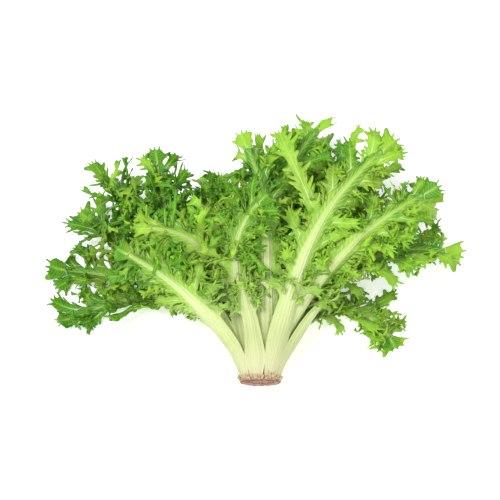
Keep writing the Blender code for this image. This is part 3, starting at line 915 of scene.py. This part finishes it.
    def matching_growth(
        self, tree: KDTree, draws: dict[str, float], pair: int, root: tuple[float, float],
        edge: Edge,
    ) -> Growth | None:
        """Find out which growth the plain solid gave a lobe.

        Args:
            tree: The solid's corners.
            draws: The lobe's random draws.
            pair: Which pair of lobes it belongs to.
            root: Where along the leaf its root starts and ends.
            edge: The margin that it grows from.

        Returns:
            The growth, or None where the solid has no lobe.
        """
        leaf = self.midrib.leaf
        share = (root[0] + root[1]) / 2
        at = self.midrib.at(share)
        points = (self.midrib.margin(root[0], edge), self.midrib.margin(root[1], edge))
        outgrowth = 1.0
        if leaf.branch[:2] == (pair, edge.value):
            outgrowth = leaf.branch[2]
            draws["bend"] = leaf.branch[3]
        for length_share, bend_share in LOBE_TRIES:
            growth = self.lobe_growth(draws, share, length_share * outgrowth, bend_share)
            tip = plain_lobe_tip(points, at, edge, growth)
            if tree.find(tip)[2] < TIP_MATCH:
                return growth
        return None

    def grow_frills(self, starts: list[int]) -> None:
        """Grow the small curled lobes on the stretches of margin that carry no large one.

        Args:
            starts: The row where each pair of lobes starts.
        """
        look, leaf = self.midrib.ring.look, self.midrib.leaf
        for pair, start in enumerate(starts):
            gaps = GAP_ROWS if pair + 1 < len(starts) else 0
            for edge in Edge:
                first = 0 if (pair, edge) in self.missing else LOBE_ROWS
                for row, number in product(range(first, LOBE_ROWS + gaps), range(look.frills)):
                    draw = random.Random(f"{self.name} frill {pair} {edge.value} {row} {number}")
                    chain = self.curls.copied(self.margin_chain(start + row, 1, edge), self.tissue)
                    share = self.row_shares[start + row]
                    length = look.frill_length * leaf.size * self.fullness()
                    growth = Growth(
                        length=length * draw.uniform(0.6, 1.3),
                        width=(2.8 if row < LOBE_ROWS else 1.9) * MM * draw.uniform(0.7, 1.4),
                        sweep=turn(draw, -10, 60),
                        bend=math.radians(look.frill_curl) * draw.uniform(-0.5, 1.0),
                        twist=turn(draw, -120, 120),
                        tip_curl=turn(draw, -90, 150),
                        ruffle=0.4 * MM,
                        neck=0.85,
                        steps=6,
                        tooth=1.3,
                        tooth_curl=1.2,
                        tooth_every=2,
                    )
                    at = self.midrib.at(share)
                    self.curls.grow_lobe(chain, at, edge, growth, draw, ROOT_OUT)

    def grow_runners(self, starts: list[int]) -> None:
        """Grow long thin arching strands from both margins of the stalk's upper end.

        Args:
            starts: The row where each pair of lobes starts.
        """
        look = self.midrib.ring.look
        for edge, number in product(Edge, range(look.runners)):
            draw = random.Random(f"{self.name} runner {edge.value} {number}")
            row = starts[0] - 1 - number
            at = self.midrib.at(self.row_shares[row])
            upward = math.copysign(1.0, at.inward.z)
            chain = self.curls.copied(self.margin_chain(row, 1, edge), self.tissue)
            chain[1].co = chain[0].co.lerp(chain[1].co, 0.4)
            growth = Growth(
                length=draw.uniform(28, 46) * MM,
                width=draw.uniform(1.3, 2.0) * MM,
                sweep=turn(draw, 20, 75),
                bend=upward * turn(draw, 35, 75),
                twist=turn(draw, -60, 60),
                tip_curl=-upward * turn(draw, 110, 190),
                ruffle=0.2 * MM,
                neck=0.9,
                steps=12,
                tooth=1.2,
                tooth_curl=0.8,
                tooth_every=3,
            )
            self.curls.grow_lobe(chain, at, edge, growth, draw, 0.0)

    def grow_tip(self) -> None:
        """Grow the leaf's end as a last broad lobe."""
        ring, leaf = self.midrib.ring, self.midrib.leaf
        draw = random.Random(f"{self.name} tip")
        last = self.rows[-1]
        share = self.row_shares[-1]
        growth = Growth(
            length=(1 - share) * leaf.length + 2 * MM,
            width=2.0 * ring.lobe_width * leaf.size * ring.look.slimness,
            sweep=math.radians(90),
            bend=turn(draw, -25, 25),
            twist=turn(draw, -40, 40),
            tip_curl=turn(draw, -40, 40),
            ruffle=ring.look.ruffle,
            neck=0.6,
            steps=4,
            tooth=ring.look.tooth * 0.5,
            tooth_curl=ring.look.tooth_curl,
            tooth_every=2,
        )
        self.tissue.grow_lobe(last, self.midrib.at(share), Edge.LEFT, growth, draw, 0.3)

    def as_piece(
        self, tissue: Tissue, name: str, finish: bpy.types.Material, slot: str
    ) -> None:
        """Make one of the leaf's sheets a piece of the head, with its thickness.

        Args:
            tissue: The sheet.
            name: What the piece is called.
            finish: Its material.
            slot: Its material slot in the part; not used.
        """
        thickest = max(vert[tissue.body] for vert in tissue.mesh.verts)
        weights = [vert[tissue.body] / thickest for vert in tissue.mesh.verts]
        piece = as_object(tissue.mesh, name, finish)
        group = piece.vertex_groups.new(name="thickness")
        for index, weight in enumerate(weights):
            group.add([index], weight, "REPLACE")
        if tissue is self.tissue:
            finer = piece.modifiers.new("finer", "SUBSURF")
            finer.levels = finer.render_levels = 1
        thick = piece.modifiers.new("thickness", "SOLIDIFY")
        thick.thickness = 2 * thickest
        thick.offset = 0.0
        thick.vertex_group = "thickness"
        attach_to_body(piece, "root")
        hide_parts(self.name)

    def build(self, finish: bpy.types.Material, slot: str) -> None:
        """Grow the whole leaf: its blade as one piece and its small curls as another.

        Args:
            finish: The material of both.
            slot: Their material slot in the part; passed on, but not used.
        """
        self.row_shares, starts = self.shares()
        self.grow_rib(self.row_shares)
        grown = self.grow_lobes(starts)
        self.grow_frills(starts)
        self.grow_runners(starts)
        self.grow_tip()
        LOG.info("%s: %d lobes", self.name, grown)
        self.as_piece(self.tissue, f"{self.name}_grown", finish, slot)
        self.as_piece(self.curls, f"{self.name}_curls", finish, slot)


BUMP_STRENGTH = 0.6
SIDE_VEINS = 75.0  # how close the side veins of a lobe stand, from its root to its tip
WEB_VEINS = 260.0  # and those of the web, from the leaf's root to its tip
RIDGES = 26.0  # how close the ridges of a stalk stand, across it
VEINED_FROM = 0.34  # how far out the veins of a lobe are in full


@dataclass(frozen=True)
class Wire:
    """A number or a colour that a material works out at each point."""

    graph: "Graph"
    socket: bpy.types.NodeSocket

    def __add__(self, other: "Wire | float") -> "Wire":
        """Return the sum."""
        return self.graph.maths("ADD", self, other)

    def __sub__(self, other: "Wire | float") -> "Wire":
        """Return the difference."""
        return self.graph.maths("SUBTRACT", self, other)

    def __mul__(self, other: "Wire | float") -> "Wire":
        """Return the product."""
        return self.graph.maths("MULTIPLY", self, other)

    def __abs__(self) -> "Wire":
        """Return the number without its sign."""
        return self.graph.maths("ABSOLUTE", self, 0.0)

    def wave(self) -> "Wire":
        """Return the sine."""
        return self.graph.maths("SINE", self, 0.0)

    def or_more(self, other: "Wire") -> "Wire":
        """Return the larger of the two."""
        return self.graph.maths("MAXIMUM", self, other)

    def eased(
        self, low: float, high: float, start: float = 0.0, end: float = 1.0,
        way: str = "SMOOTHSTEP",
    ) -> "Wire":
        """Carry the number from one range into another, and hold it at the ends.

        Args:
            low: Where the first range starts.
            high: Where it ends.
            start: What low becomes.
            end: What high becomes.
            way: How it goes from one to the other.

        Returns:
            The new number.
        """
        ends = {"From Min": low, "From Max": high, "To Min": start, "To Max": end}
        feeds = {"Value": self, **ends}
        return self.graph.wire("MapRange", "Result", feeds, interpolation_type=way)


@dataclass(frozen=True)
class Graph:
    """The nodes of one material, and short ways to add and join them."""

    material: bpy.types.Material

    def feed(self, socket: bpy.types.NodeSocket, value: Wire | float | Colour) -> None:
        """Link a wire into a socket, or set what the socket holds.

        Args:
            socket: The socket.
            value: A wire, a number, a colour or a stretch.
        """
        if isinstance(value, Wire):
            self.material.node_tree.links.new(value.socket, socket)
        else:
            socket.default_value = (*value, 1.0) if socket.type == "RGBA" else value

    def wire(
        self, kind: str, output: str | int, feeds: dict[str | int, object], **settings: str
    ) -> Wire:
        """Add a node.

        Args:
            kind: What kind it is.
            output: Which of its outputs is wanted.
            feeds: What its sockets take, by their name or number.
            settings: Its own settings.

        Returns:
            The output.
        """
        node = self.material.node_tree.nodes.new(f"ShaderNode{kind}")
        for key, value in settings.items():
            setattr(node, key, value)
        for key, value in feeds.items():
            self.feed(node.inputs[key], value)
        return Wire(self, node.outputs[output])

    def maths(self, operation: str, first: Wire, second: Wire | float) -> Wire:
        """Return what an operation makes of two numbers; some only take the first."""
        return self.wire("Math", 0, {0: first, 1: second}, operation=operation)

    def blend(self, share: Wire, first: Wire | Colour, second: Wire | Colour) -> Wire:
        """Return a mix of two colours."""
        return self.wire("Mix", 2, {"Factor": share, 6: first, 7: second}, data_type="RGBA")

    def read(self, name: str) -> Wire:
        """Return what the mesh holds under a name."""
        return self.wire("Attribute", "Fac", {}, attribute_name=name)

    def noise(self, scale: float, detail: float, stretch: Colour = (1.0, 1.0, 1.0)) -> Wire:
        """Add a noise that lies on the object's own coordinates.

        Args:
            scale: How fine it is.
            detail: How rough it is.
            stretch: Its scale along each axis; a smaller one draws its blots out.

        Returns:
            The noise.
        """
        where = self.wire("TexCoord", "Object", {})
        if stretch != (1.0, 1.0, 1.0):
            where = self.wire("Mapping", "Vector", {"Vector": where, "Scale": stretch})
        feeds = {"Vector": where, "Scale": scale, "Detail": detail}
        return self.wire("TexNoise", "Fac", feeds)

    def bumps(self, height: Wire, depth: float) -> Wire:
        """Return the normals of a surface that a height raises."""
        feeds = {"Strength": BUMP_STRENGTH, "Distance": depth, "Height": height}
        return self.wire("Bump", "Normal", feeds)

    def shader(self, **inputs: Wire | float | Colour) -> Wire:
        """Set inputs of the material's own shader.

        Args:
            inputs: What they take, with _ for each space in their names.

        Returns:
            What the shader gives.
        """
        shader = self.material.node_tree.nodes["Principled BSDF"]
        for key, value in inputs.items():
            self.feed(shader.inputs[key.replace("_", " ")], value)
        return Wire(self, shader.outputs[0])


def new_graph(name: str) -> Graph:
    """Start a material.

    Args:
        name: What it is called.

    Returns:
        Its nodes.
    """
    made = bpy.data.materials.new(name)
    made.use_nodes = True
    return Graph(made)


@dataclass(frozen=True)
class LeafFinish:
    """Waxy blade with a pale midrib: white at the stem, then yellow-green, then green."""

    name: str
    blade: Colour
    # the blade's darker random patches, and also painted shade near the midrib and at the roots of
    # lobes and curls
    blade_dark_and_shade: Colour
    young: Colour
    pale: Colour = (0.68, 0.75, 0.38)
    root: Colour = (0.85, 0.83, 0.56)
    furrow: Colour = (0.42, 0.56, 0.16)
    cut: Colour = (0.42, 0.18, 0.09)
    rib_green: Colour = (0.41, 0.62, 0.11)
    sunned: Colour = (0.38, 0.50, 0.04)

    def green(self, graph: Graph, cloud: Wire, pucker: Wire) -> Wire:
        """Work out the colour of the blade between its veins.

        Args:
            graph: The material's nodes.
            cloud: Its broad noise.
            pucker: Its middling noise.

        Returns:
            The colour.
        """
        outward = graph.read("outward")
        patch = cloud + (graph.read("tint") - 0.5) * 0.6 + (pucker - 0.5) * 0.7
        # painted shade: the blade is darker near the midrib and towards the roots of its lobes,
        # curls and teeth, where they crowd together
        patch = patch - outward.eased(0.2, 0.55, 0.2, 0.0)
        blade = graph.blend(patch.eased(0.3, 0.68), self.blade_dark_and_shade, self.blade)
        in_sun = graph.noise(22.0, 2.0).eased(0.5, 0.68, 0.0, 0.4)
        blade = graph.blend(in_sun, blade, self.sunned)
        age = graph.read("reach") + outward * 0.42
        return graph.blend(age.eased(0.35, 0.95), self.young, blade)

    def veins(self, graph: Graph, pucker: Wire) -> Wire:
        """Work out where the veins are: along each lobe, slanting off it, and in the web.

        Args:
            graph: The material's nodes.
            pucker: Its middling noise, which makes the small veins waver.

        Returns:
            0 between the veins, and up to 1 on them.
        """
        outward = graph.read("outward")
        centre = abs(graph.read("vein"))
        vein = centre.eased(0.0, 0.3, 1.0, 0.0) * outward.eased(0.3, 0.95, 0.9, 0.4)
        vein = vein * outward.eased(0.268, VEINED_FROM)
        slant = outward * SIDE_VEINS - centre * 7.0 + pucker * 5.0
        branch = slant.wave().eased(0.3, 1.0, 0.0, 0.33) * centre.eased(0.1, 0.4)
        branch = branch * outward.eased(0.27, VEINED_FROM)
        slant = graph.read("reach") * WEB_VEINS - abs(graph.read("strand")) * 9.0 + pucker * 6.0
        web = slant.wave().eased(0.2, 1.0, 0.0, 0.3) * outward.eased(0.2, 0.3, 1.0, 0.0)
        return vein.or_more(branch.or_more(web))

    def material(self) -> bpy.types.Material:
        """Mix the finish.

        Returns:
            The material.
        """
        graph = new_graph(self.name)
        cloud, fine = graph.noise(38.0, 3.0), graph.noise(420.0, 4.0)
        pucker = graph.noise(150.0, 2.0)
        reach, outward, rib = (graph.read(name) for name in ("reach", "outward", "rib"))
        veins = self.veins(graph, pucker)
        vein_tone = graph.blend(outward.eased(0.25, 0.6), self.pale, self.rib_green)
        veined = graph.blend(veins, self.green(graph, cloud, pucker), vein_tone)

        on_rib = rib.eased(0.75, 1.15, 1.0, 0.0) * reach.eased(0.72, 0.95, 1.0, 0.2)
        rib_tone = graph.blend(reach.eased(0.22, 0.9), self.pale, self.rib_green)
        ribbed = graph.blend(on_rib, veined, rib_tone)
        at_base = reach.eased(0.12, 0.42, 1.0, 0.0) * outward.eased(0.2, 0.7, 1.0, 0.25)
        stalk = graph.blend(at_base, ribbed, self.pale)
        ridge = (graph.read("strand") * RIDGES).wave()
        furrow = ridge.eased(-0.2, 1.0, 0.0, 0.34) * on_rib * cloud.eased(0.35, 0.6, 0.3, 1.0)
        stalk = graph.blend(furrow, stalk, self.furrow)
        stalk = graph.blend(reach.eased(0.0, 0.16, 0.75, 0.0), stalk, self.root)
        streak = ridge.eased(-0.6, 0.6, 0.35, 1.0) * fine.eased(0.3, 0.6, 0.3, 1.0)
        colour = graph.blend(reach.eased(-0.024, 0.004, 1.0, 0.0) * streak, stalk, self.cut)

        height = fine * 0.6 + pucker * rib.eased(0.8, 1.3, 0.3, 2.2)
        height = height + (ridge * on_rib * 0.25 + veins * 0.5)
        skin = graph.shader(
            Base_Color=colour, Normal=graph.bumps(height, 1.0 * MM), Roughness=0.45,
            Specular_IOR_Level=0.25,
        )
        through = graph.wire("BsdfTranslucent", 0, {"Color": colour})
        see_through = reach.eased(0.1, 0.4, 0.42, 0.2)
        both = graph.wire("MixShader", 0, {"Fac": see_through, 1: skin, 2: through})
        output = graph.material.node_tree.nodes["Material Output"]
        graph.feed(output.inputs["Surface"], both)
        return graph.material


OUTER_FINISH = LeafFinish(
    "outer_leaf_skin", blade=(0.27, 0.53, 0.026), blade_dark_and_shade=(0.065, 0.27, 0.005),
    young=(0.35, 0.60, 0.065),
)
INNER_FINISH = LeafFinish(
    "inner_leaf_skin", blade=(0.33, 0.63, 0.032), blade_dark_and_shade=(0.08, 0.33, 0.006),
    young=(0.46, 0.71, 0.09),
)


@dataclass(frozen=True)
class CutStemFinish:
    """Pale flesh in strands, pinkish brown where the knife and the air have been at it."""

    name: str = "cut_stem_flesh"
    cream: Colour = (0.66, 0.50, 0.30)
    pink: Colour = (0.52, 0.26, 0.17)
    brown: Colour = (0.15, 0.045, 0.028)

    def material(self) -> bpy.types.Material:
        """Mix the finish.

        Returns:
            The material.
        """
        graph = new_graph(self.name)
        strands = graph.noise(900.0, 4.0, (1.0, 0.12, 1.0))
        blots = graph.noise(230.0, 4.0)
        flesh = graph.blend(strands.eased(0.38, 0.62, way="LINEAR"), self.pink, self.cream)
        flesh = graph.blend(blots.eased(0.56, 0.72, way="LINEAR"), flesh, self.brown)
        worn = graph.read("bruise") * blots.eased(0.1, 0.5, way="LINEAR")
        colour = graph.blend(worn, flesh, self.brown)
        graph.shader(Base_Color=colour, Normal=graph.bumps(strands, 0.8 * MM), Roughness=0.55)
        return graph.material


# The stem's outline from the middle of the cut to its tip, turned about the axis: how far
# along the axis and how far off it, in millimetres, and how bruised it is there.
STEM_PROFILE = (
    (1.4, 0.0, 0.7), (1.1, 3.0, 0.8), (1.3, 5.5, 0.6), (1.7, 8.0, 0.9), (1.0, 10.5, 1.0),
    (0.4, 12.6, 0.5), (0.0, 14.2, 1.0), (0.5, 15.2, 1.0), (1.4, 14.9, 0.8), (2.2, 14.6, 0.4),
    (3.2, 14.2, 0.0), (4.4, 14.3, 0.1), (5.5, 14.0, 0.3), (6.2, 12.4, 0.2), (16.0, 9.0, 0.0),
    (27.0, 5.3, 0.0), (38.0, 1.6, 0.0), (39.0, 0.0, 0.0),
)
ROUGH_UP_TO = 6.1 * MM  # along the axis
SCRAP_THICKNESS = 0.45 * MM
SCRAP_LIFT = 0.3 * MM
SCRAP_COLUMNS = (-1, 0, 1)
SCRAP_TAPER = (0.75, 0.45, 0.1)
LONG_SCRAPS = (12, 30)


@dataclass
class CutStem:
    """The short stem: a collar that the knife went through and the cone above it."""

    origin: Vector
    finish: bpy.types.Material
    sides: int = 80
    scraps: int = 46

    def start(self) -> Vector:
        """Return the middle of the cut face."""
        return self.origin + Vector((0.0, 0.0, CUT_HEIGHT))

    def as_piece(self, mesh: bmesh.types.BMesh, name: str) -> bpy.types.Object:
        """Make a mesh a piece of the stem.

        Args:
            mesh: The mesh.
            name: What the piece is called.

        Returns:
            The piece.
        """
        piece = as_object(mesh, name, self.finish)
        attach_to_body(piece, "root")
        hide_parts("stem")
        return piece

    def turn_flesh(self) -> None:
        """Turn the stem about the head's axis and roughen its cut and its rim."""
        start = self.start()
        mesh = bmesh.new()
        bruise = mesh.verts.layers.float.new("bruise")
        verts = strung(
            mesh, [start + AXIS * along * MM + ACROSS * off * MM for along, off, _ in STEM_PROFILE]
        )
        for vert, (_, _, dark) in zip(verts, STEM_PROFILE):
            vert[bruise] = dark
        bmesh.ops.spin(
            mesh, geom=verts + mesh.edges[:], cent=start, axis=AXIS, angle=math.tau,
            steps=self.sides, use_merge=True,
        )
        bmesh.ops.remove_doubles(mesh, verts=mesh.verts[:], dist=0.01 * MM)
        draw = random.Random("cut stem")
        for vert in mesh.verts:
            local = vert.co - start
            along = local.dot(AXIS)
            out = local - along * AXIS
            if along < ROUGH_UP_TO and out.length > 2 * MM:
                vert.co += out.normalized() * draw.uniform(-0.45, 0.35) * MM
                vert.co += AXIS * draw.uniform(-0.1, 0.4) * MM
            vert.co.z = max(vert.co.z, 0.0)
        self.as_piece(mesh, "stem_flesh")

    def scrap_row(self, place: Vector, half: Vector) -> list[Vector]:
        """Return the points across a scrap at one place."""
        return [above_floor(place + half * column, SCRAP_LIFT) for column in SCRAP_COLUMNS]

    def tear_scraps(self) -> None:
        """Leave torn scraps of old leaf bases standing round the collar."""
        mesh = bmesh.new()
        bruise = mesh.verts.layers.float.new("bruise")
        draw = random.Random("torn scraps")
        for number in range(self.scraps):
            angle = math.tau * (number + draw.uniform(-0.4, 0.4)) / self.scraps
            out = radial(angle)
            around = AXIS.cross(out)
            place = self.start() + out * 15.3 * MM + AXIS * draw.uniform(0.8, 4.4) * MM
            heading = AXIS * 0.9 + out * draw.uniform(0.1, 0.8) + around * draw.uniform(-0.4, 0.4)
            heading.normalize()
            width, length = draw.uniform(0.4, 1.3) * MM, draw.uniform(2.0, 6.0) * MM
            if number in LONG_SCRAPS:
                heading, length = (out + AXIS * 0.2).normalized(), 7.5 * MM
            chain = strung(mesh, self.scrap_row(place, around * width))
            for vert in chain:
                vert[bruise] = draw.uniform(0.0, 0.8)
            for step, wide in enumerate(SCRAP_TAPER, 1):
                heading = heading + around * draw.uniform(-0.3, 0.3) + out * draw.uniform(-0.2, 0.3)
                heading.normalize()
                place = place + heading * length / 3
                chain = extruded(mesh, chain, self.scrap_row(place, around * width * wide))
                for vert in chain:
                    vert[bruise] = draw.uniform(0.0, 0.5) * step / 3
        piece = self.as_piece(mesh, "stem_scraps")
        thick = piece.modifiers.new("thickness", "SOLIDIFY")
        thick.thickness = SCRAP_THICKNESS
        thick.offset = 0.0

    def build(self) -> None:
        """Build the stem's pieces."""
        self.turn_flesh()
        self.tear_scraps()


@dataclass
class Head:
    """The whole head: its cut stem and its rings of leaves."""

    origin: Vector

    def build(self) -> None:
        """Build every piece and report it."""
        CutStem(self.origin, CutStemFinish().material()).build()
        outer, inner = OUTER_FINISH.material(), INNER_FINISH.material()
        for ring in RINGS:
            old = ring.name in ("outer", "second")
            leaves = LEAVES[ring.name]
            midribs = [
                Midrib(ring, leaf, ring.first + number * 360.0 / len(leaves), self.origin)
                for number, leaf in enumerate(leaves)
            ]
            for number, midrib in enumerate(midribs):
                midrib.measure_room([other for other in midribs if other is not midrib])
                name = f"{ring.name}_leaf_{number + 1:02d}"
                LeafPiece(name, midrib).build(
                    outer if old else inner, "outer_leaf" if old else "inner_leaf"
                )


@dataclass
class Studio:
    """A pale floor, soft light from all round and above, and the camera."""

    floor_side: float = 6.0
    elevation: float = 60.0
    distance: float = 2.4
    view_width: float = 0.385
    sensor: float = 36.0
    floor_glow: float = 0.36
    ambient: float = 0.57
    origin: Vector = field(default_factory=Vector)  # of the head
    aim: tuple[float, float, float] = (-0.0077, 0.1155, 0.0143)  # from the head's origin

    def build(self) -> None:
        """Set up the floor, the lights and the camera."""
        self.lay_floor()
        self.light_room()
        self.set_camera()

    def lay_floor(self) -> None:
        """Lay the floor, which glows a little so that it comes out white."""
        mesh = bmesh.new()
        bmesh.ops.create_grid(mesh, x_segments=1, y_segments=1, size=self.floor_side / 2)
        paint = new_graph("floor_paint")
        paint.shader(
            Base_Color=(0.93, 0.93, 0.93), Roughness=0.9, Emission_Color=(1.0, 1.0, 1.0),
            Emission_Strength=self.floor_glow, Specular_IOR_Level=0.0,
        )
        floor = as_object(mesh, "floor", paint.material, smooth_faces=False)

    def light_room(self) -> None:
        """Fill the room with even light, and hang its two lamps."""
        world = bpy.data.worlds.new("studio")
        world.use_nodes = True
        background = world.node_tree.nodes["Background"]
        background.inputs["Color"].default_value = (1.0, 1.0, 1.0, 1.0)
        background.inputs["Strength"].default_value = self.ambient
        bpy.context.scene.world = world
        bpy.context.scene.view_settings.view_transform = "Standard"
        self.lamp("key", (-0.55, -0.5, 1.7), 0.6, 30.0)
        self.lamp("fill", (0.5, -1.0, 1.1), 1.0, 9.0)

    def set_camera(self) -> None:
        """Aim the camera down at the head."""
        camera = bpy.data.cameras.new("camera")
        camera.sensor_width = self.sensor
        camera.lens = self.sensor * self.distance / self.view_width
        camera.clip_end = 20.0
        holder = bpy.data.objects.new("camera", camera)
        bpy.context.scene.collection.objects.link(holder)
        lift = math.radians(self.elevation)
        away = Vector((0.0, -math.cos(lift), math.sin(lift)))
        holder.location = self.origin + Vector(self.aim) + away * self.distance
        holder.rotation_euler = (-away).to_track_quat("-Z", "Y").to_euler()
        bpy.context.scene.camera = holder

    def lamp(self, name: str, place: tuple[float, float, float], size: float, power: float) -> None:
        """Hang a large soft lamp that faces the head.

        Args:
            name: What it is called.
            place: Where it hangs.
            size: The side of its square.
            power: Its power in watts.
        """
        light = bpy.data.lights.new(name, "AREA")
        light.size = size
        light.energy = power
        holder = bpy.data.objects.new(name, light)
        bpy.context.scene.collection.objects.link(holder)
        holder.location = place
        holder.rotation_euler = (-Vector(place)).to_track_quat("-Z", "Y").to_euler()


def main() -> None:
    """Build the head and its studio."""
    logging.basicConfig(level=logging.INFO, format="%(message)s")
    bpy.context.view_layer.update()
    origin = head_origin()
    Head(origin).build()
    Studio(origin=origin).build()


if __name__ == "__main__":
    main()
